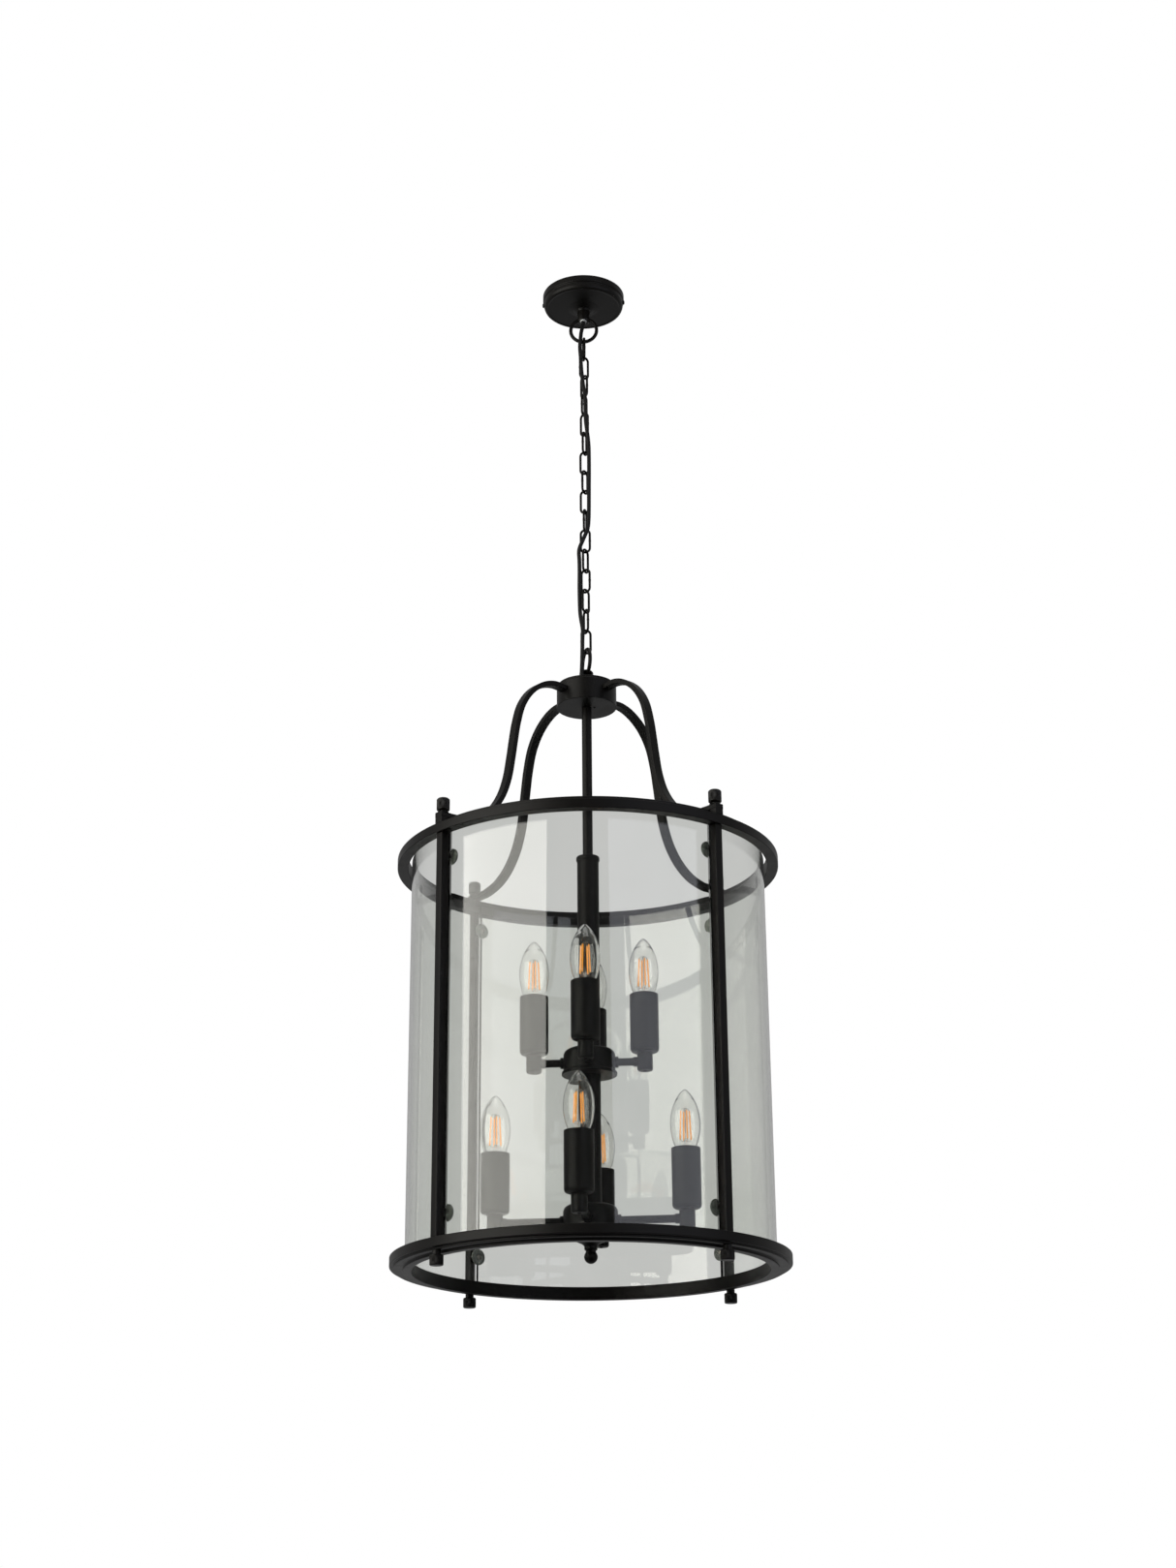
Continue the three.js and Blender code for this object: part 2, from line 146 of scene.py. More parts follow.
def add_node(
    tree: bpy.types.NodeTree,
    kind: str,
    settings: dict[str, object] | None = None,
    links: dict[str, bpy.types.NodeSocket] | None = None,
) -> bpy.types.Node:
    """Adds a node with its settings and the sockets that feed it.

    Args:
        tree: The node tree that takes it.
        kind: Blender's type name for the node.
        settings: Input values by socket name, or the node's own properties.
        links: The output socket that feeds each named input.

    Returns:
        The new node.
    """
    node = tree.nodes.new(kind)
    for name, value in (settings or {}).items():
        if not hasattr(node, name):
            node.inputs[name].default_value = value
        else:
            setattr(node, name, value)
    for name, socket in (links or {}).items():
        tree.links.new(socket, node.inputs[name])
    return node


@dataclass(frozen=True)
class Finish:
    """A surface finish: a two-tone colour, its gloss, and a fine relief, all from noise at a real scale."""

    name: str
    slot: str
    dark: str
    light: str
    roughness: float
    rough_spread: float = 0.06
    metallic: float = 0.0
    specular: float = 0.5
    mottle_mm: float = 18.0
    grain_mm: float = 1.4
    relief: float = 0.1
    stretch: Point = (1.0, 1.0, 1.0)
    transmission: float = 0.0
    ior: float = 1.5
    glow: float = 0.0

    def material(self) -> bpy.types.Material:
        """Finds or makes this finish's material."""
        return bpy.data.materials.get(self.name) or self._make()

    def _make(self) -> bpy.types.Material:
        """Builds the node tree.

        Returns:
            The new material.
        """
        material = bpy.data.materials.new(self.name)
        material.use_nodes = True
        tree = material.node_tree
        tree.nodes.clear()
        place = add_node(tree, "ShaderNodeTexCoord")
        stretch = {"Scale": self.stretch}
        scaled = add_node(tree, "ShaderNodeMapping", stretch, {"Vector": place.outputs["Object"]})
        source = {"Vector": scaled.outputs["Vector"]}
        noises = []
        for size_mm, detail, rough in ((self.mottle_mm, 3.0, 0.55), (self.grain_mm, 2.0, 0.5)):
            settings = {"Scale": 1 / (size_mm * MM), "Detail": detail, "Roughness": rough}
            noises.append(add_node(tree, "ShaderNodeTexNoise", settings, source))
        mottle, grain = noises
        tone = add_node(tree, "ShaderNodeValToRGB", links={"Fac": mottle.outputs["Fac"]})
        for stop, position, colour in zip(tone.color_ramp.elements, (0.35, 0.68), (self.dark, self.light)):
            stop.position = position
            stop.color = linear(colour)
        gloss = add_node(
            tree,
            "ShaderNodeMapRange",
            {"To Min": self.roughness - self.rough_spread, "To Max": self.roughness + self.rough_spread},
            {"Value": mottle.outputs["Fac"]},
        )
        bump = add_node(
            tree,
            "ShaderNodeBump",
            {"Strength": self.relief, "Distance": 0.25 * MM},
            {"Height": grain.outputs["Fac"]},
        )
        shader = add_node(
            tree,
            "ShaderNodeBsdfPrincipled",
            {
                "Metallic": self.metallic,
                "IOR": self.ior,
                "Specular IOR Level": self.specular,
                "Transmission Weight": self.transmission,
                "Emission Color": linear(self.light),
                "Emission Strength": self.glow,
            },
            {
                "Base Color": tone.outputs["Color"],
                "Roughness": gloss.outputs["Result"],
                "Normal": bump.outputs["Normal"],
            },
        )
        add_node(tree, "ShaderNodeOutputMaterial", links={"Surface": shader.outputs["BSDF"]})
        return material


# Steel, powder coated in satin black and baked: an even, close black with a faint warm sheen and orange
# peel. The peel is about 0.5 mm across on the real coat, and is drawn at 0.9 mm so that it shows.
POWDER_COAT = Finish(
    "powder_coated_steel", "black_powder_coat", "#070605", "#0c0a08", 0.42, specular=0.15,
    grain_mm=0.9, relief=0.03
)
# The same coat on turned and knurled parts, where the handled edges have polished up a little.
TURNED_COAT = Finish(
    "powder_coated_turned_steel", "black_powder_coat", "#070605", "#0f0d0a", 0.34, specular=0.2,
    mottle_mm=6,
    grain_mm=0.8, relief=0.06,
)
# Chain wire, bent, butt welded and dip painted: deeper black, with thin and thick places every few
# millimetres.
CHAIN_PAINT = Finish(
    "dip_painted_chain_wire", "black_powder_coat", "#060504", "#0f0c0a", 0.42, specular=0.15, mottle_mm=5,
    grain_mm=1.0, relief=0.14,
)
# Strip steel, blanked and zinc plated: a pale grey metal, clouded by the passivation.
ZINC_PLATE = Finish(
    "zinc_plated_strip", "zinc_plated_steel", "#a5a7a3", "#c6c6bf", 0.36, metallic=1.0, mottle_mm=7,
    grain_mm=0.7,
    relief=0.08,
)
# PVC, extruded round over its cores: a soft black, finely drawn along its length.
FLEX_PVC = Finish(
    "extruded_pvc_sheath", "flex_sheath", "#080808", "#101010", 0.5, specular=0.2, mottle_mm=9,
    grain_mm=1.1,
    relief=0.14, stretch=(1.0, 1.0, 0.15),
)
# Float glass, bent over a former and polished on its edges: clear with a faint grey-green body and slow
# waves.
BENT_GLASS = Finish(
    "bent_float_glass", "clear_glass", "#eceeea", "#f2f3f0", 0.02, rough_spread=0.006, mottle_mm=160,
    grain_mm=85, relief=0.035, transmission=1.0, ior=1.46,
)
# Soda glass, blown thin for a lamp: nearly colourless, bright at its edges.
BLOWN_GLASS = Finish(
    "blown_lamp_glass", "lamp_glass", "#f8f8f7", "#fdfdfc", 0.02, rough_spread=0.008, mottle_mm=30,
    grain_mm=24,
    relief=0.03, transmission=1.0, ior=1.46,
)
# Phosphor silicone, moulded over a chip strip: a dull egg-yolk amber, with a soft glow of painted light
# (emission) that brightens the sticks.
AMBER_SILICONE = Finish(
    "moulded_phosphor_silicone", "lamp_glass", "#dd8a20", "#f5a136", 0.5, mottle_mm=3, grain_mm=0.5,
    relief=0.12,
    # Painted light: this glow makes the sticks shine without any lamp in the scene being lit.
    glow=0.7,
)
# Nickel-plated brass, rolled into a screw cap: bright and slightly yellow.
NICKEL_CAP = Finish(
    "nickel_plated_cap", "zinc_plated_steel", "#b7b1a4", "#d2cdc2", 0.24, metallic=1.0, mottle_mm=5,
    grain_mm=0.6,
    relief=0.06,
)
# Molybdenum and nickel lead wires, drawn.
LEAD_WIRE = Finish(
    "drawn_lead_wire", "zinc_plated_steel", "#8d8a84", "#aaa69d", 0.3, metallic=1.0, mottle_mm=2,
    grain_mm=0.4
)
# Phenolic, compression moulded: black and faintly brown, with a dull moulded skin.
PHENOLIC = Finish(
    "moulded_phenolic", "flex_sheath", "#15110e", "#221b16", 0.48, mottle_mm=6, grain_mm=0.8, relief=0.12
)
# Nylon, injection moulded for the glass clips: a translucent grey with flow clouds.
CLIP_NYLON = Finish(
    "moulded_grey_nylon", "flex_sheath", "#6a6e68", "#8a8f88", 0.42, mottle_mm=4, grain_mm=0.8, relief=0.14
)
# Polythene, moulded clear for the cable grommet: milky, with a waxy gloss.
CLEAR_POLYTHENE = Finish(
    "moulded_clear_polythene", "flex_sheath", "#b9bdbd", "#d6d9d8", 0.32, mottle_mm=3, grain_mm=0.6,
    relief=0.1,
    transmission=0.35,
)
# Polyamide terminal block, moulded in white.
WHITE_POLYAMIDE = Finish(
    "moulded_white_polyamide", "flex_sheath", "#d9d7d0", "#ebe9e3", 0.45, mottle_mm=5, grain_mm=0.9,
    relief=0.1
)
# Emulsion paint, rolled on the studio's floor: pale, with a fine stipple, and lit almost wholly by its
# own glow.
STUDIO_PAINT = Finish(
    "rolled_emulsion_paint", "", "#969694", "#9c9c9a", 0.8, specular=0.1, mottle_mm=400, grain_mm=6,
    relief=0.05,
    glow=2.0,
)


# ---------------- shapes
@dataclass
class Shape:
    """Corners in millimetres and the faces between them."""

    corners: list[Vector] = field(default_factory=list)
    faces: list[tuple[int, ...]] = field(default_factory=list)

    def __add__(self, other: "Shape") -> "Shape":
        """Joins two shapes into one mesh."""
        start = len(self.corners)
        faces = [tuple(i + start for i in face) for face in other.faces]
        return Shape(self.corners + other.corners, self.faces + faces)

    def moved(self, matrix: Matrix) -> "Shape":
        """Gives this shape moved by a matrix in millimetres."""
        return Shape([matrix @ corner for corner in self.corners], list(self.faces))

    def at(self, x: float = 0.0, y: float = 0.0, z: float = 0.0) -> "Shape":
        """Gives this shape shifted by so many millimetres."""
        return self.moved(Matrix.Translation((x, y, z)))

    def spun(self, degrees: float, axis: str = "Z") -> "Shape":
        """Gives this shape turned about an axis through the origin."""
        return self.moved(Matrix.Rotation(math.radians(degrees), 4, axis))


def eased(points: Sequence[Pair], radius: float, closed: bool = False) -> list[Pair]:
    """Rounds the corners of an outline, as far as its shorter edges allow.

    A point is added just beyond each rounding, so that the flats between them shade flat.

    Args:
        points: The outline's corners.
        radius: How far from each corner the rounding starts, in millimetres.
        closed: Whether the last corner joins the first.

    Returns:
        The rounded outline.
    """
    outline = [Vector(p) for p in points]
    count = len(outline)
    rounded: list[Pair] = []
    for i, corner in enumerate(outline):
        if not closed and i in (0, count - 1):
            rounded.append(tuple(corner))
            continue
        before = outline[i - 1] - corner
        after = outline[(i + 1) % count] - corner
        if before.length < 1e-6 or after.length < 1e-6 or before.angle(after) > math.radians(172):
            rounded.append(tuple(corner))
            continue
        reach = min(radius, 0.36 * before.length, 0.36 * after.length)
        start = corner + before.normalized() * reach
        end = corner + after.normalized() * reach
        rounded.append(tuple(corner + before.normalized() * reach * 1.35))
        for step in range(4):
            t = step / 3
            rounded.append(tuple(start * (1 - t) ** 2 + corner * 2 * t * (1 - t) + end * t * t))
        rounded.append(tuple(corner + after.normalized() * reach * 1.35))
    return rounded


def turned(
    profile: Sequence[Pair],
    sides: int = 96,
    closed: bool = False,
    flute: Callable[[float, float], float] | None = None,
    ease: float = 0.0,
) -> Shape:
    """Turns a profile of (radius, height) points about Z.

    Args:
        profile: The profile, anticlockwise with the axis on the left.
        sides: How many steps go round.
        closed: Whether the profile closes on itself, as a ring's does, rather than on the axis.
        flute: Gives how far a point is cut in, from its angle and height.
        ease: How far the profile's corners are rounded first, in millimetres.

    Returns:
        The turned shape.
    """
    shape = Shape()
    rows: list[list[int]] = []
    for radius, height in eased(profile, ease, closed) if ease else profile:
        first = len(shape.corners)
        if radius < 1e-6:
            shape.corners.append(Vector((0, 0, height)))
            rows.append([first] * sides)
            continue
        for step in range(sides):
            angle = 2 * math.pi * step / sides
            r = radius - (flute(angle, height) if flute else 0.0)
            shape.corners.append(Vector((r * math.cos(angle), r * math.sin(angle), height)))
        rows.append(list(range(first, first + sides)))
    pairs = list(zip(rows, rows[1:]))
    if closed:
        pairs.append((rows[-1], rows[0]))
    for low, high in pairs:
        for i in range(sides):
            j = (i + 1) % sides
            corners = dict.fromkeys((low[i], low[j], high[j], high[i]))
            if len(corners) > 2:
                shape.faces.append(tuple(corners))
    return shape


def block(low: Point, high: Point, edge: float = 0.4) -> Shape:
    """Makes a square bar or plate with broken edges.

    Args:
        low: Its lowest corner in millimetres.
        high: Its highest corner.
        edge: The width of the broken edges.

    Returns:
        The block.
    """
    mesh = bmesh.new()
    bmesh.ops.create_cube(mesh, size=1.0)
    middle = (Vector(low) + Vector(high)) / 2
    size = Vector(high) - Vector(low)
    for vertex in mesh.verts:
        vertex.co = Vector(a * b for a, b in zip(vertex.co, size)) + middle
    bmesh.ops.bevel(mesh, geom=mesh.edges[:], offset=edge, segments=3, profile=0.6, affect="EDGES")
    mesh.verts.index_update()
    shape = Shape([v.co.copy() for v in mesh.verts], [tuple(v.index for v in f.verts) for f in mesh.faces])
    mesh.free()
    return shape


def swept(
    path: Sequence[Vector],
    section: Sequence[Pair],
    sideways: Vector | None = None,
    closed: bool = False,
) -> Shape:
    """Carries a section along a path.

    Args:
        path: The middle line.
        section: The outline, as (sideways, across) pairs.
        sideways: A fixed direction for the section's first axis, square to the whole path. Without one the
            section is carried round with no twist.
        closed: Whether the path joins up.

    Returns:
        The swept solid, with flat ends unless it is closed.
    """
    shape = Shape()
    count = len(path)
    side = sideways
    for i, point in enumerate(path):
        ahead = path[(i + 1) % count] if closed or i < count - 1 else point
        behind = path[i - 1] if closed or i else point
        along = (ahead - behind).normalized()
        if sideways is None:
            start = side if side is not None else along.orthogonal()
            side = (start - along * start.dot(along)).normalized()
        across = along.cross(side)
        shape.corners.extend(point + side * a + across * b for a, b in section)
    width = len(section)
    for i in range(count if closed else count - 1):
        here, there = i * width, ((i + 1) % count) * width
        for j in range(width):
            k = (j + 1) % width
            shape.faces.append((here + j, here + k, there + k, there + j))
    if not closed:
        shape.faces.append(tuple(reversed(range(width))))
        shape.faces.append(tuple(range((count - 1) * width, count * width)))
    return shape


def round_section(radius: float, sides: int = 14) -> list[Pair]:
    """Gives a round wire's outline."""
    turn = 2 * math.pi / sides
    return [(radius * math.cos(i * turn), radius * math.sin(i * turn)) for i in range(sides)]


def rod(radius: float, start: Point, end: Point, sides: int = 24) -> Shape:
    """Makes a straight round rod with eased ends between two points."""
    way = Vector(end) - Vector(start)
    ease = min(0.3, radius * 0.4)
    profile = eased([(0, 0), (radius, 0), (radius, way.length), (0, way.length)], ease)
    turn = way.to_track_quat("Z", "Y").to_matrix().to_4x4()
    return turned(profile, sides).moved(Matrix.Translation(start) @ turn)


def smooth_line(points: Sequence[Sequence[float]], steps: int) -> list[Vector]:
    """Runs a smooth line through points.

    Args:
        points: The points that it passes through.
        steps: How many steps go between each pair of points.

    Returns:
        The line, end points included.
    """
    given = [Vector(p) for p in points]
    padded = [2 * given[0] - given[1], *given, 2 * given[-1] - given[-2]]
    line: list[Vector] = []
    for a, b, c, d in zip(padded, padded[1:], padded[2:], padded[3:]):
        for step in range(steps):
            t = step / steps
            line.append(
                0.5
                * (2 * b + (c - a) * t + (2 * a - 5 * b + 4 * c - d) * t * t + (3 * b - a - 3 * c + d) * t**3)
            )
    line.append(given[-1])
    return line


def screw_head(radius: float, height: float, recess: float) -> Shape:
    """Makes a pan head with a hexagon socket, standing on z = 0."""
    dome = [(0, 0), (radius, 0), (radius, height * 0.45), (radius * 0.82, height * 0.85)]
    dome.append((recess * 1.15, height))
    socket = [(recess, height), (recess, height * 0.35), (0, height * 0.35)]
    return turned(dome + socket, 24, ease=0.25)


def new_object(name: str, shape: Shape) -> bpy.types.Object:
    """Links an object with a shape's mesh to the scene.

    Args:
        name: The object's name.
        shape: Its shape in millimetres.

    Returns:
        The object, in metres.
    """
    mesh = bpy.data.meshes.new(name)
    mesh.from_pydata([corner * MM for corner in shape.corners], [], shape.faces)
    piece = bpy.data.objects.new(name, mesh)
    bpy.context.scene.collection.objects.link(piece)
    return piece


def make(
    name: str,
    shape: Shape,
    finish: Finish,
    body: Body | None,
    replaces: Iterable[str] = (),
    crease: float = CREASE,
) -> bpy.types.Object:
    """Makes one piece of the lantern from a shape.

    Args:
        name: The piece's name.
        shape: Its shape, in the part's frame, in millimetres.
        finish: What it is made of.
        body: The body that it rides on, or none if it spans a hinge or belongs to the set.
        replaces: The plain solids that it stands for.
        crease: The angle in degrees above which an edge shades sharp.

    Returns:
        The piece.
    """
    piece = new_object(name, shape)
    mesh = piece.data
    mesh.validate()
    mesh.update()
    mesh.shade_smooth()
    mesh.set_sharp_from_angle(angle=math.radians(crease))
    mesh.materials.append(finish.material())
    if body:
        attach(piece, body.value)
    names = list(replaces)
    if names:
        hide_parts(*names)
    return piece


def bored(piece: bpy.types.Object, cutter: Shape) -> None:
    """Cuts a shape out of a piece and keeps the result as its mesh.

    Args:
        piece: The piece to cut.
        cutter: The shape of the hole.
    """
    tool = new_object("cutter", cutter)
    cut = piece.modifiers.new("hole", "BOOLEAN")
    cut.operation = "DIFFERENCE"
    cut.object = tool
    cut.solver = "EXACT"
    bpy.context.view_layer.update()
    result = bpy.data.meshes.new_from_object(piece.evaluated_get(bpy.context.evaluated_depsgraph_get()))
    piece.modifiers.clear()
    piece.data = result
    result.set_sharp_from_angle(angle=math.radians(CREASE))
    bpy.data.objects.remove(tool)


def loop_hole(turn: float, height: float) -> Shape:
    """Gives the flared hole that a loop swings in, as a shape to cut with.

    Args:
        turn: The loop's turn about Z in degrees, where 0 stands its plane along Y.
        height: The height of the hole's middle.

    Returns:
        The hole's shape.
    """
    profile: list[Pair] = [(0, -12)]
    for along in (-12, -9, -6, -3, 0, 3, 6, 9, 12):
        bend = LOOP_RADIUS - math.sqrt(LOOP_RADIUS**2 - along**2)
        profile.append((LOOP_WIRE + 0.45 + bend, along))
    profile.append((0, 12))
    return turned(profile, 40).spun(90, "Y").spun(90 - turn).at(z=height)


# ---------------- ceiling end
@dataclass
class CeilingRose:
    """The pressed rose that covers the ceiling bracket, with the boss that carries the chain."""

    radius: float = 52.5
    depth: float = 18.3
    nipple: float = 4.8
    boss_radius: float = 8.0
    boss_top: float = -20.9
    boss_bottom: float = -39.3

    def build(self) -> None:
        """Builds and dresses every piece that stays on the ceiling."""
        self._cover()
        self._boss()
        self._bracket()
        self._wiring()
        LOG.info("ceiling rose: cover, boss, bracket, nipple, terminal block, screws and grommet")

    def _cover(self) -> None:
        """Makes the stepped cover and its two side screws."""
        r, d, hole = self.radius, self.depth, self.nipple + 0.5
        outside = [
            (hole, -d - 2.3), (10, -d - 2.3), (14, -d - 0.7), (20, 0.5 - d), (r - 7, 0.9 - d), (r - 5, -d),
            (r - 2.5, 1.3 - d), (r - 1.3, -14), (r - 1.3, -9.2), (r, -8), (r, 0),
        ]
        inside = [
            (r - 1.3, 0), (r - 1.3, -7.4), (r - 2.6, -8.6), (r - 2.6, -13.4), (r - 5.6, 1.9 - d),
            (20, 1.8 - d), (13.4, 0.7 - d), (9.6, -d - 1), (hole, -d - 1),
        ]
        profile = eased(outside + inside, 0.9, closed=True)
        make("rose_cover", turned(profile, 128, closed=True), POWDER_COAT, Body.CEILING, ["ceiling_rose"])
        for name, side in (("left", 180), ("right", 0)):
            head = screw_head(2.9, 2.0, 1.2).spun(90, "Y").at(x=self.radius - 1.0, z=-10.6).spun(side)
            make(f"rose_side_screw_{name}", head, TURNED_COAT, Body.CEILING)

    def _boss(self) -> None:
        """Makes the turned boss under the rose, with the hole that the top loop hangs in."""
        r = self.boss_radius
        profile = [
            (0, self.boss_bottom), (r - 1.6, self.boss_bottom), (r, self.boss_bottom + 2.6),
            (r, self.boss_top - 2),
            (r + 1.4, self.boss_top), (self.nipple, self.boss_top), (self.nipple, -2.3), (0, -2.3),
        ]
        boss = make("chain_boss", turned(profile, 64, ease=0.5), TURNED_COAT, Body.CEILING, ["loop_boss"])
        bored(boss, loop_hole(90, TOP_LOOP_Z + LOOP_RADIUS))
        collar = [(2.55, 0), (3.9, 0), (4.3, 1.2), (3.6, 2.6), (2.55, 2.6)]
        grommet = turned(collar, 32, closed=True, ease=0.5).at(y=-6.2, z=self.boss_bottom - 2.3)
        make("flex_grommet", grommet, CLEAR_POLYTHENE, Body.CEILING)

    def _bracket(self) -> None:
        """Dresses the ceiling bracket and adds its screws, lock nut and nipple thread."""
        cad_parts["ceiling_bracket"].data.materials.clear()
        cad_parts["ceiling_bracket"].data.materials.append(ZINC_PLATE.material())
        for name, x in (("left", -32.0), ("right", 32.0)):
            head = screw_head(4.0, 2.2, 1.5).spun(180, "X").at(x=x, z=-2.05)
            make(f"ceiling_screw_{name}", head, ZINC_PLATE, Body.CEILING)
        nut = turned([(4.9, 0), (9.2, 0), (9.2, 3.4), (4.9, 3.4)], 6, closed=True, ease=0.5)
        make("nipple_nut", nut.at(z=-5.6), ZINC_PLATE, Body.CEILING, crease=20)
        thread = [(4.85, -16.5)]
        for i in range(10):
            thread += [(5.2, -16.2 + i * 1.0), (4.85, -15.7 + i * 1.0)]
        ring = turned(thread + [(4.82, -6.2), (4.82, -16.6)], 40, closed=True)
        make("nipple_thread", ring, ZINC_PLATE, Body.CEILING)

    def _wiring(self) -> None:
        """Makes the terminal block and the cores that run into it."""
        body = block((-14, 18, -13.5), (14, 29, -4.5), 0.8)
        for i in range(3):
            body += rod(3.0, (-9 + 9 * i, 23.5, -14.6), (-9 + 9 * i, 23.5, -13), 20)
        make("terminal_block", body, WHITE_POLYAMIDE, Body.CEILING)
        screws = Shape()
        cores = Shape()
        for i in range(3):
            screws += screw_head(2.0, 0.9, 0.9).spun(180, "X").at(x=-9 + 9 * i, y=23.5, z=-14.5)
            line = smooth_line([(2.0 * i - 2, 7, -15.2), (3 * i - 3, 11, -13.5), (-9 + 9 * i, 18, -9.5)], 8)
            cores += swept(line, round_section(1.1, 10))
        make("terminal_screws", screws, NICKEL_CAP, Body.CEILING)
        make("flex_cores", cores, WHITE_POLYAMIDE, Body.CEILING)


# ---------------- chain and flex
@dataclass
class Chain:
    """Two round loops with sixteen welded links between them."""

    width: float = 14.3

    def build(self) -> None:
        """Builds every loop and link."""
        self._loop("top_loop", TOP_LOOP_Z, 90, Body.TOP_LOOP)
        for i, turn in enumerate(LINK_TURNS):
            self._link(i + 1, FIRST_LINK_Z - LINK_PITCH * i, turn)
        self._loop("bottom_loop", BOTTOM_LOOP_Z, BOTTOM_LOOP_TURN, Body.BOTTOM_LOOP)
        LOG.info("chain: two loops and %d links", len(LINK_TURNS))

    def _loop(self, name: str, height: float, turn: float, body: Body) -> None:
        """Makes a loop of bent wire, with the closed butt of its two ends at one side.

        Args:
            name: The solid that it stands for.
            height: Its middle's height below the ceiling.
            turn: Its turn about Z in degrees, where 0 stands its plane along Y.
            body: The group that it is.
        """
        steps = 96
        line = []
        for i in range(steps):
            angle = 2 * math.pi * i / steps
            line.append(Vector((LOOP_RADIUS * math.cos(angle), 0, LOOP_RADIUS * math.sin(angle))))
        ring = swept(line, round_section(LOOP_WIRE, 18), sideways=Vector((0, 1, 0)), closed=True)
        for corner in ring.corners:
            angle = math.atan2(corner.z, corner.x)
            if abs(angle) < 0.034:
                centre = Vector((LOOP_RADIUS * math.cos(angle), 0, LOOP_RADIUS * math.sin(angle)))
                corner += (centre - corner) * 0.12
        shape = ring.spun(90 - turn).at(z=height)
        make(f"{name}_wire", shape, CHAIN_PAINT, body, [name])

    def _link(self, number: int, height: float, turn: float) -> None:
        """Makes one link: a stretched ring of wire with its weld's bulge on one side.

        Args:
            number: The link's place in the chain, from 1 at the top.
            height: Its middle's height below the ceiling.
            turn: Its turn about Z in degrees, where 0 stands its plane along Y.
        """
        bend = self.width / 2 - LINK_WIRE
        straight = (LINK_LENGTH - self.width) / 2
        line = []
        for end in (1, -1):
            for i in range(17):
                angle = math.pi * i / 16
                x, z = end * bend * math.cos(angle), end * (straight + bend * math.sin(angle))
                line.append(Vector((x, 0, z)))
            for z in (4.5, 1.6, 0.9, 0, -0.9, -1.6, -4.5):
                line.append(Vector((-end * bend, 0, end * z)))
        wire = swept(line, round_section(LINK_WIRE, 14), sideways=Vector((0, 1, 0)), closed=True)
        for corner in wire.corners:
            if corner.x < 0 and abs(corner.z) < 1.2:
                centre = Vector((-bend, 0, corner.z))
                corner += (corner - centre) * (0.16 if abs(corner.z) > 0.5 else 0.07)
        shape = wire.spun(90 - turn).at(z=height)
        body = Body.TOP_LOOP if number == 1 else Body.CHAIN
        make(f"link_wire_{number:02d}", shape, CHAIN_PAINT, body, [f"chain_link_{number:02d}"])


@dataclass
class Flex:
    """The round flex that is threaded down the chain, in one length for each hinge that it bends over."""

    radius: float = 2.5
    steps: int = 6

    def build(self) -> None:
        """Builds the flex's lengths end to end; each that spans a hinge rides on no body and is baked in
        place.
        """
        line = smooth_line(FLEX_ROUTE, self.steps)
        bottom = FIRST_LINK_Z - LINK_PITCH * 15
        lengths = (
            ("top", FLEX_ROUTE[0][2], FIRST_LINK_Z, Body.CEILING, Body.TOP_LOOP),
            ("first_link", FIRST_LINK_Z, FIRST_LINK_Z - 1.6 * LINK_PITCH, Body.TOP_LOOP, Body.CHAIN),
            ("middle", FIRST_LINK_Z - 1.6 * LINK_PITCH, bottom, Body.CHAIN, Body.CHAIN),
            ("last_link", bottom, BOTTOM_LOOP_Z, Body.CHAIN, Body.BOTTOM_LOOP),
            ("hub", BOTTOM_LOOP_Z, FLEX_ROUTE[-1][2], Body.BOTTOM_LOOP, Body.LANTERN),
        )
        for name, high, low, above, below in lengths:
            shape = swept(self._between(line, high, low), round_section(self.radius, 16))
            held = above if above is below else None
            piece = make(f"flex_{name}", shape, FLEX_PVC, held, ["flex_cord"], crease=60)
            if held is None:
                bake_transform(piece)
        LOG.info("flex: %d lengths, %.0f mm in all", len(lengths), self._length(line))

    @staticmethod
    def _between(line: Sequence[Vector], top: float, bottom: float) -> list[Vector]:
        """Cuts the part of a falling line between two heights.

        Args:
            line: The whole line.
            top: The height where the part starts.
            bottom: The height where it ends.

        Returns:
            The part's points, both cut ends included.
        """
        part: list[Vector] = []
        for a, b in zip(line, line[1:]):
            for height in (top, bottom):
                if b.z < height <= a.z:
                    part.append(a.lerp(b, (a.z - height) / (a.z - b.z)))
            if bottom < b.z < top:
                part.append(b)
        if bottom <= line[-1].z:
            part.append(line[-1])
        part.sort(key=lambda p: -p.z)
        kept = [part[0]]
        kept.extend(p for p in part[1:] if kept[-1].z - p.z > 0.05)
        return kept

    @staticmethod
    def _length(line: Sequence[Vector]) -> float:
        """Measures a line in millimetres."""
        return sum((b - a).length for a, b in zip(line, line[1:]))


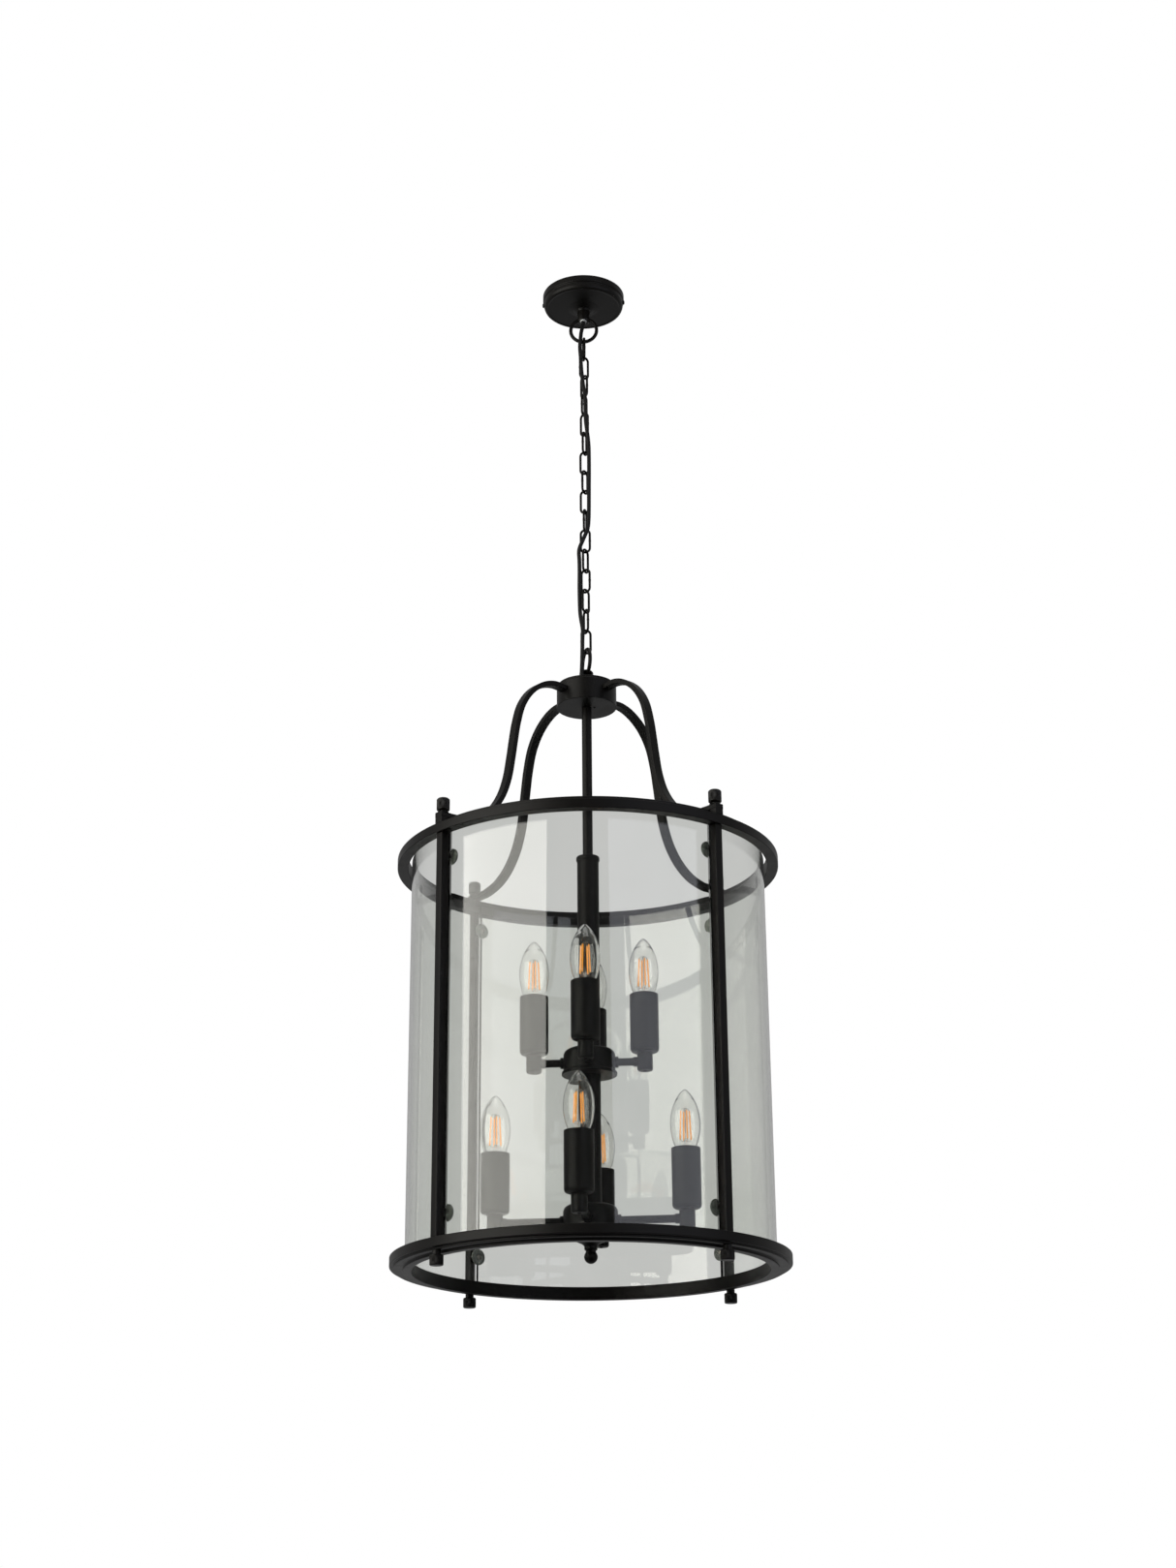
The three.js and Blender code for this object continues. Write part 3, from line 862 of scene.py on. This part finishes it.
# ---------------- frame
@dataclass
class Crown:
    """The hub at the top, the four bent arms and the knurled nuts that hold them to the top ring."""

    hub_radius: float = 36.3
    hub_bottom: float = 679.0
    hub_top: float = 709.0
    boss_radius: float = 8.5
    boss_top: float = 728.0
    arm_width: float = 11.5
    arm_thickness: float = 6.2

    def build(self) -> None:
        """Builds the hub, then each arm with its nut."""
        self._hub()
        for corner in Corner:
            self._arm(corner)
            self._nut(corner)
        LOG.info("crown: hub, four arms, four knurled nuts")

    def _hub(self) -> None:
        """Makes the hub with its boss, grommet and screws."""
        r, low, high = self.hub_radius, self.hub_bottom, self.hub_top
        profile = [
            (0, low), (r, low), (r, high - 3.5), (r - 1.2, high - 3.2), (r - 1.2, high - 0.8),
            (r - 2, high),
            (self.boss_radius, high), (self.boss_radius, self.boss_top - 2.4),
            (self.boss_radius - 2, self.boss_top),
            (0, self.boss_top),
        ]
        shape = turned(profile, 112, ease=0.8).at(z=-DROP)
        hub = make("crown_hub", shape, POWDER_COAT, Body.LANTERN, ["top_hub"])
        bored(hub, loop_hole(BOTTOM_LOOP_TURN, BOTTOM_LOOP_Z - LOOP_RADIUS))
        collar = turned([(2.6, 0), (4.4, 0), (4.0, 2.2), (2.6, 2.6)], 32, closed=True, ease=0.4)
        grommet = collar.at(x=-5.2, y=-10.8, z=high - DROP + 0.1)
        make("hub_grommet", grommet, PHENOLIC, Body.LANTERN)
        heads = Shape()
        for corner in Corner:
            heads += screw_head(3.4, 2.0, 1.4).at(x=27, z=high - DROP - 0.1).spun(corner.value)
        make("hub_screws", heads, TURNED_COAT, Body.LANTERN)
        grub = screw_head(1.7, 0.9, 0.8).spun(180, "X").at(x=9.5, y=-1.5, z=low - DROP + 0.1)
        make("hub_grub_screw", grub, TURNED_COAT, Body.LANTERN)

    def _arm(self, corner: Corner) -> None:
        """Makes one arm, a flat bar bent on edge with the spacer block under its foot.

        Args:
            corner: Where it stands.
        """
        line = [Vector((p.x, 0, p.y)) for p in smooth_line(ARM_LINE, 6)]
        wide, thick = self.arm_width / 2, self.arm_thickness / 2
        outline = eased([(-wide, -thick), (wide, -thick), (wide, thick), (-wide, thick)], 0.9, closed=True)
        bar = swept(line, outline, sideways=Vector((0, 1, 0)))
        foot = block((214.8, -wide, 479.7), (224.4, wide, 486.6), 0.5)
        pad = turned([(3.6, 0), (6.6, 0), (6.6, 0.5), (3.6, 0.5)], 40, closed=True, ease=0.15)
        washer = pad.at(x=POST_RADIUS, z=492.5)
        shape = (bar + foot + washer).at(z=-DROP).spun(corner.value)
        name = corner.name.lower()
        make(f"crown_bar_{name}", shape, POWDER_COAT, Body.LANTERN, [f"crown_arm_{name}"])

    def _nut(self, corner: Corner) -> None:
        """Makes one knurled nut on its neck.

        Args:
            corner: Where it stands.
        """
        r = NUT_RADIUS
        profile = [
            (0, 492.8), (4, 492.8), (4, 495), (r - 1.2, 495), (r, 496.2), (r, 497.4), (r, 503), (r, 507.2),
            (r, 508.4), (r - 1.6, 510), (0, 510.2),
        ]
        shape = turned(profile, 144, ease=0.5, flute=knurl(r, 496.9, 507.8)).at(x=POST_RADIUS, z=-DROP)
        name = corner.name.lower()
        make(f"knurled_nut_{name}", shape.spun(corner.value), TURNED_COAT, Body.LANTERN, [f"knob_{name}"])


def knurl(radius: float, low: float, high: float) -> Callable[[float, float], float]:
    """Gives the cut of a straight knurl round a nut.

    Args:
        radius: The nut's radius.
        low: Where the knurl starts.
        high: Where it ends.

    Returns:
        The depth of cut at an angle and a height.
    """

    def depth(angle: float, height: float) -> float:
        """Gives the depth of cut, none outside the knurled band."""
        if not low <= height <= high:
            return 0.0
        return KNURL_DEPTH * radius * abs(((angle * KNURL_TEETH / math.pi) % 2) - 1)

    return depth


@dataclass
class Drum:
    """The glass drum: two rings, four posts with their clips and feet, and four panes of bent glass."""

    radius: float = 225.0
    glass_outer: float = 208.0
    glass_inner: float = 204.0
    slit: float = 4.0
    pane_bottom: float = 5.3
    pane_top: float = 476.6

    def build(self) -> None:
        """Builds the rings, posts and panes."""
        self._rings()
        for corner in Corner:
            self._post(corner)
            self._clips(corner)
        for side in Side:
            self._pane(side)
        LOG.info("drum: two rings, four posts with feet, eight clips, four panes")

    def _rings(self) -> None:
        """Makes the rolled top and bottom rings."""
        r = self.radius
        top = [(212, 468.6), (r, 468.6), (r, 479.4), (214.5, 479.4), (214.5, 485.8), (212, 485.8)]
        bottom = [
            (200, -2.6), (r - 15, -2.6), (r - 15, 0), (r - 4.5, 0), (r - 4.5, 2.5), (r, 2.5), (r, 13),
            (211, 13), (211, 5), (203, 5), (203, 12.5), (200, 12.5),
        ]
        for name, profile, ease in (("top", top, 0.7), ("bottom", bottom, 0.8)):
            shape = turned(profile, 256, closed=True, ease=ease).at(z=-DROP)
            make(f"{name}_rolled_ring", shape, POWDER_COAT, Body.LANTERN, [f"{name}_ring"])

    def _post(self, corner: Corner) -> None:
        """Makes one square post with its knurled foot nut and the spacers behind its clips.

        Args:
            corner: Where it stands.
        """
        r, nut = POST_RADIUS, NUT_RADIUS
        bar = block((r - 5, -5, 13.3), (r + 5, 5, 468.3), 0.7)
        foot_profile = [
            (0, -16.5), (6.7, -16.5), (nut, -15.7), (nut, -14.6), (nut, -11), (nut, -6.9), (nut, -5.8),
            (6.9, -5),
            (4.8, -5), (4.8, -0.3), (0, -0.3),
        ]
        foot = turned(foot_profile, 144, ease=0.4, flute=knurl(nut, -15.1, -6.4)).at(x=r)
        spacers = Shape()
        for height in CLIP_HEIGHTS.values():
            spacers += rod(4.5, (self.glass_outer + 0.5, 0, height), (r - 4, 0, height))
            spacers += rod(1.5, (201, 0, height), (self.glass_outer + 1, 0, height), 16)
        name = corner.name.lower()
        shape = (bar + foot + spacers).at(z=-DROP).spun(corner.value)
        make(f"post_bar_{name}", shape, POWDER_COAT, Body.LANTERN, [f"post_{name}"])

    def _clips(self, corner: Corner) -> None:
        """Makes the two nylon clip discs and their screws behind one post.

        Args:
            corner: Where they sit.
        """
        disc = [(0, 0), (8.6, 0), (9.5, 0.8), (9.5, 2.1), (8.7, 2.9), (5.2, 2.9), (4.8, 2.3), (0, 2.3)]
        for level, height in CLIP_HEIGHTS.items():
            name = f"{level}_{corner.name.lower()}"
            pad = turned(disc, 96, ease=0.35, flute=knurl(6.5, 0.9, 2.0))
            pad = pad.spun(-90, "Y").at(x=203.3, z=height - DROP).spun(corner.value)
            make(f"clip_disc_{name}", pad, CLIP_NYLON, Body.LANTERN)
            head = screw_head(2.6, 1.0, 1.3).spun(-90, "Y").at(x=201.0, z=height - DROP).spun(corner.value)
            make(f"clip_screw_{name}", head, LEAD_WIRE, Body.LANTERN)

    def _pane(self, side: Side) -> None:
        """Makes one bent pane with polished edges.

        Args:
            side: The side that it closes.
        """
        half = math.pi / 4 - self.slit / 2 / self.glass_outer
        steps = 64
        middle = (self.glass_outer + self.glass_inner) / 2
        thick = (self.glass_outer - self.glass_inner) / 2
        path = []
        for i in range(steps + 1):
            angle = -half + 2 * half * i / steps
            path.append(Vector((middle * math.cos(angle), middle * math.sin(angle), 0)))
        low, high = self.pane_bottom, self.pane_top
        outline = eased([(low, -thick), (high, -thick), (high, thick), (low, thick)], 0.6, closed=True)
        shape = swept(path, outline, sideways=Vector((0, 0, 1))).at(z=-DROP).spun(side.value)
        name = side.name.lower()
        make(f"pane_{name}", shape, BENT_GLASS, Body.LANTERN, [f"glass_panel_{name}"])


# ---------------- lamps
@dataclass
class Stem:
    """The rod that hangs from the hub, and the wide sleeve that carries both tiers of lamps."""

    rod_radius: float = 6.0
    sleeve_radius: float = 12.8
    sleeve_top: float = 487.0

    def build(self) -> None:
        """Builds the rod and sleeve as one piece with its collar."""
        r, top = self.sleeve_radius, self.sleeve_top
        profile = [
            (0, 72.5), (r, 72.5), (r, top - 6), (r + 1, top - 5), (r + 1, top - 1), (r, top),
            (self.rod_radius, top),
            (self.rod_radius, 678.7), (0, 678.7),
        ]
        shape = turned(profile, 64, ease=0.5).at(z=-DROP)
        make("stem_tube", shape, POWDER_COAT, Body.LANTERN, ["stem"])
        LOG.info("stem: rod, sleeve and collar")


@dataclass
class LampTier:
    """A hub with four arms, and the cup, candle tube, holder and lamp at the end of each."""

    name: str
    tube_bottom: float
    reach: float
    hub_radius: float
    hub_profile: list[Pair]
    hub_is_ring: bool
    turn: float
    arm_drop: float = 10.5
    shoulder_rise: float = 4.0

    def build(self) -> None:
        """Builds the hub with its arms, then the four lamps."""
        arm_height = self.tube_bottom - self.arm_drop
        cup_top = self.tube_bottom - GAP
        frame_shape = turned(self.hub_profile, 112, closed=self.hub_is_ring, ease=0.9)
        for side in Side:
            frame_shape += self._arm(arm_height, cup_top).spun(side.value)
        shape = frame_shape.at(z=-DROP).spun(self.turn)
        make(f"{self.name}_lamp_arms", shape, POWDER_COAT, Body.LANTERN, [f"{self.name}_cluster"])
        for side in Side:
            self._lamp(side)
        LOG.info("%s tier: hub, four arms, four candle tubes and lamps", self.name)

    def _arm(self, height: float, cup_top: float) -> Shape:
        """Makes one arm with its collars, cup and grub screw, lying along X.

        Args:
            height: The arm's height.
            cup_top: The top of the cup.

        Returns:
            The arm's shape.
        """
        hub, reach = self.hub_radius, self.reach
        arm = rod(4.5, (hub - 4, 0, height), (reach - 6, 0, height), 40)
        arm += rod(6.5, (hub - 4, 0, height), (hub + 3.5, 0, height), 40)
        arm += rod(5.6, (reach - 13.5, 0, height), (reach - 7.5, 0, height), 40)
        low = cup_top - 21
        cup = [(0, low), (7.8, low), (9, low + 1.5), (9, cup_top - 1.6), (8.2, cup_top), (0, cup_top)]
        arm += turned(cup, 48, ease=0.5).at(x=reach)
        arm += screw_head(2.2, 1.2, 1.0).spun(180, "X").at(x=reach, z=low + 0.1)
        return arm

    def _lamp(self, side: Side) -> None:
        """Makes one candle tube with its holder and lamp.

        Args:
            side: Which arm it stands on.
        """
        angle = math.radians(side.value + self.turn)
        x, y = self.reach * math.cos(angle), self.reach * math.sin(angle)
        name = f"{self.name}_{side.name.lower()}"
        tube = CandleTube()
        tube.build(name, (x, y, self.tube_bottom - DROP))
        shoulder = self.tube_bottom + tube.height + self.shoulder_rise - DROP
        CandleLamp().build(name, (x, y, shoulder), side.value * 0.5 + 20)


@dataclass
class CandleTube:
    """A deep drawn candle cover over a moulded lampholder."""

    radius: float = 16.6
    wall: float = 1.2
    height: float = 69.0

    def build(self, name: str, place: Point) -> None:
        """Builds the cover and the holder inside it.

        Args:
            name: The lamp's tier and side.
            place: The middle of its bottom.
        """
        r, top, bore = self.radius, self.height, self.radius - self.wall
        profile = [
            (0, 0), (r - 4, 0), (r - 1.2, 1.2), (r, 4), (r, top), (bore, top), (bore, 4),
            (bore - 2, 2), (0, 2),
        ]
        shape = turned(profile, 72, ease=0.55).at(*place)
        make(f"candle_cover_{name}", shape, POWDER_COAT, Body.LANTERN, [f"candle_tube_{name}"])
        holder = [
            (0, 2.3), (9.5, 2.3), (9.5, 8), (12, 10), (12, 54), (13.2, 56), (13.2, 58.4), (7.6, 58.4),
            (7.6, 34),
            (0, 34),
        ]
        make(f"lampholder_{name}", turned(holder, 48, ease=0.6).at(*place), PHENOLIC, Body.LANTERN)


@dataclass
class CandleLamp:
    """A clear candle lamp with four amber filament sticks, its heights measured from its shoulder."""

    radius: float = 17.5
    stand_out: float = 63.5
    wall: float = 0.7
    sides: int = 56

    def build(self, name: str, place: Point, turn: float) -> None:
        """Builds the envelope, cap, glass mount, filaments and their wires.

        Args:
            name: The lamp's tier and side.
            place: The middle of its shoulder, just clear of its tube.
            turn: How far the filaments are turned round, in degrees.
        """
        r = self.radius
        rough = [
            (6.9, -19), (7.4, -16), (10.0, -9), (13.3, 0), (15.3, 6), (16.7, 13), (17.4, 19.5), (17.4, 26),
            (16.7, 33.5), (15.0, 41), (12.6, 47.6), (9.6, 53.6), (6.3, 58.6), (3.2, 62), (1.4, 63.2),
            (0, self.stand_out),
        ]
        outer = [(max(0.0, min(p.x, r)), p.y) for p in smooth_line(rough, 3)]
        outer[-1] = (0.0, self.stand_out)
        inner = [(max(0.0, a - self.wall), b - (self.wall if b > 50 else 0)) for a, b in outer[:-1]]
        inner = [p for p in inner if p[0] > 0.2] + [(0.0, self.stand_out - 2.2)]
        envelope = turned(outer, self.sides) + self._inside_out(turned(inner, self.sides))
        envelope += self._rim(outer[0], inner[0])
        make(
            f"lamp_envelope_{name}", envelope.at(*place), BLOWN_GLASS, Body.LANTERN, [f"bulb_{name}"],
            crease=70,
        )
        cap = [(0, -38), (3, -38), (3.4, -36.6), (5.4, -35.4)]
        for i in range(5):
            cap += [(6.8, -34 + i * 2.8), (6.2, -32.6 + i * 2.8)]
        cap += [(6.9, -20.4), (6.9, -17.4), (0, -17.4)]
        make(f"lamp_cap_{name}", turned(cap, 40, ease=0.5).at(*place), NICKEL_CAP, Body.LANTERN)
        mount = [(0, -17), (5.4, -17), (3.4, -10), (1.9, -2), (1.5, 3), (2.2, 5), (1.2, 6.6), (0, 6.8)]
        make(f"lamp_mount_{name}", turned(mount, 28, ease=1.2).at(*place), BLOWN_GLASS, Body.LANTERN)
        sticks, wires = self._filaments()
        make(f"lamp_filaments_{name}", sticks.spun(turn).at(*place), AMBER_SILICONE, Body.LANTERN)
        make(f"lamp_leads_{name}", wires.spun(turn).at(*place), LEAD_WIRE, Body.LANTERN)

    @staticmethod
    def _inside_out(shape: Shape) -> Shape:
        """Turns a shape's faces the other way."""
        return Shape(shape.corners, [tuple(reversed(face)) for face in shape.faces])

    def _rim(self, outer: Pair, inner: Pair) -> Shape:
        """Closes the envelope's open end.

        Args:
            outer: The end of the outer wall, as (radius, height).
            inner: The end of the inner wall.

        Returns:
            The flat ring between the two.
        """
        sides = self.sides
        rim = Shape()
        for radius, height in (inner, outer):
            for step in range(sides):
                angle = 2 * math.pi * step / sides
                rim.corners.append(Vector((radius * math.cos(angle), radius * math.sin(angle), height)))
        for i in range(sides):
            j = (i + 1) % sides
            rim.faces.append((i, j, sides + j, sides + i))
        return rim

    @staticmethod
    def _filaments() -> tuple[Shape, Shape]:
        """Makes the four sticks and the wires that carry them.

        Returns:
            The sticks, then the wires.
        """
        sticks, wires = Shape(), Shape()
        for i in range(4):
            foot = Vector((6.6, 0, 5.5))
            head = Vector((5.0, 0, 38.5))
            stick = rod(0.9, tuple(foot), tuple(head), 14).spun(90 * i)
            sticks += stick
            low = [Vector((1.2, 0, 4.2)), Vector((4.4, 0, 3.4)), foot + Vector((0, 0, 0.2))]
            high = [head - Vector((0, 0, 0.2)), Vector((3.6, 0, 41)), Vector((0.1, 0, 41.6))]
            for line in (low, high):
                wires += swept(smooth_line(line, 4), round_section(0.26, 8)).spun(90 * i)
        wires += rod(0.3, (0, 0, 6), (0, 0, 41.8), 8)
        return sticks, wires


def lower_hub_profile() -> list[Pair]:
    """Gives the lower hub's profile, with the cover dish and the ball that closes the stem."""
    ball, middle = 7.65, 15.0
    profile = [(0.0, middle - ball)]
    for step in range(1, 15):
        angle = -math.pi / 2 + step * 0.158
        profile.append((ball * math.cos(angle), middle + ball * math.sin(angle)))
    profile += [(5.4, 21.6), (7.4, 23), (7.4, 27), (10, 29.5), (22, 35), (32, 39), (32, 42.5), (31, 43.5)]
    return profile + [(31, 66), (29.5, 69.5), (26, 72), (0, 72.2)]


# ---------------- studio
@dataclass
class Studio:
    """The camera, the white surround, the soft lights and the floor."""

    distance: float = 2.668
    height: float = -1.685
    azimuth: float = 3.7
    pitch: float = 20.67
    pan: float = -0.02
    roll: float = -0.008
    lens: float = 54.43
    floor_height: float = -2.35
    backdrop: float = 0.66

    def place_camera(self) -> None:
        """Stands the camera low in front of the lantern, looking up at it."""
        camera = bpy.data.cameras.new("camera")
        camera.sensor_fit = "VERTICAL"
        camera.sensor_height = 36.0
        camera.lens = self.lens
        camera.clip_end = 50
        eye = bpy.data.objects.new("camera", camera)
        turn = math.radians(self.azimuth)
        x, y = self.distance * math.sin(turn), -self.distance * math.cos(turn)
        place = Matrix.Translation((x, y, self.height))
        tilt = Matrix.Rotation(math.radians(90 + self.pitch), 4, "X") @ Matrix.Rotation(self.roll, 4, "Z")
        eye.matrix_world = place @ Matrix.Rotation(turn + math.radians(self.pan), 4, "Z") @ tilt
        bpy.context.scene.collection.objects.link(eye)
        bpy.context.scene.camera = eye

    def light(self) -> None:
        """Lights the set and lays its floor."""
        self._surround()
        self._lamp("left_softbox", (-2.35, -1.87, -0.4), (3.3, 2.8), 105, "#fffdf6")
        self._lamp("right_softbox", (2.16, -2.08, -0.4), (3.3, 2.8), 34, "#f1f3ff")
        self._lamp("top_softbox", (0.2, -0.6, 1.5), (1.6, 1.6), 14, "#ffffff")
        top, reach, thick = self.floor_height / MM, 9000, 20
        floor = turned([(0, top - thick), (reach, top - thick), (reach, top), (0, top)], 96)
        ground = make("studio_floor", floor, STUDIO_PAINT, None)
        ground.visible_diffuse = False
        ground.visible_glossy = False
        LOG.info("studio: surround, three soft lights, floor")

    @staticmethod
    def _lamp(name: str, place: Point, size: Pair, power: float, colour: str) -> None:
        """Hangs one soft light that faces the drum.

        Args:
            name: The light's name.
            place: Where it hangs, in metres.
            size: Its width and height in metres.
            power: Its power in watts.
            colour: The colour of its light.
        """
        light = bpy.data.lights.new(name, "AREA")
        light.shape = "RECTANGLE"
        light.size, light.size_y = size
        light.energy = power
        light.color = linear(colour)[:3]
        lamp = bpy.data.objects.new(name, light)
        lamp.location = place
        lamp.rotation_euler = (Vector(place) - Vector((0, 0, -0.9))).to_track_quat("Z", "Y").to_euler()
        lamp.visible_camera = False
        bpy.context.scene.collection.objects.link(lamp)

    def _surround(self) -> None:
        """Makes the surround: white, greyer through the glass, and dark on the room's side."""
        world = bpy.data.worlds.new("white_surround")
        bpy.context.scene.world = world
        world.use_nodes = True
        tree = world.node_tree
        tree.nodes.clear()
        place = add_node(tree, "ShaderNodeTexCoord")
        parts = add_node(tree, "ShaderNodeSeparateXYZ", links={"Vector": place.outputs["Generated"]})
        back = add_node(
            tree,
            "ShaderNodeMapRange",
            {"From Min": -0.4, "From Max": 0.5, "To Min": 0.05, "To Max": 0.45},
            {"Value": parts.outputs["Y"]},
        )
        ray = add_node(tree, "ShaderNodeLightPath")
        bounced = add_node(tree, "ShaderNodeMath", {"operation": "ADD", "use_clamp": True})
        tree.links.new(ray.outputs["Glossy Depth"], bounced.inputs[0])
        tree.links.new(ray.outputs["Diffuse Depth"], bounced.inputs[1])
        seen = add_node(
            tree,
            "ShaderNodeMapRange",
            {"From Min": 0.0, "From Max": 1.0, "To Min": 1.0, "To Max": self.backdrop},
            {"Value": ray.outputs["Transmission Depth"]},
        )
        strength = add_node(tree, "ShaderNodeMix", {"data_type": "FLOAT"})
        tree.links.new(bounced.outputs["Value"], strength.inputs[0])
        tree.links.new(seen.outputs["Result"], strength.inputs[2])
        tree.links.new(back.outputs["Result"], strength.inputs[3])
        white = {"Color": (1.0, 1.0, 1.0, 1.0)}
        background = add_node(tree, "ShaderNodeBackground", white, {"Strength": strength.outputs[0]})
        add_node(tree, "ShaderNodeOutputWorld", links={"Surface": background.outputs["Background"]})


def main() -> None:
    """Builds the studio and the lantern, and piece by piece."""
    logging.basicConfig(level=logging.INFO, format="%(message)s")
    scene = bpy.context.scene
    scene.view_settings.view_transform = "Standard"
    studio = Studio()
    studio.place_camera()
    Flex().build()
    CeilingRose().build()
    Chain().build()
    Crown().build()
    Drum().build()
    Stem().build()
    upper_hub = [
        (13.1, 222), (32, 222), (32, 225.5), (30, 226.5), (30, 246), (28.5, 249.5), (25, 252), (13.1, 253),
    ]
    LampTier("upper", 247.5, 64, 30, upper_hub, True, 0.0).build()
    LampTier("lower", 65.5, 109, 31, lower_hub_profile(), False, -2.7).build()
    studio.light()
    bpy.context.view_layer.update()
    LOG.info("size written")


if __name__ == "__main__":
    main()
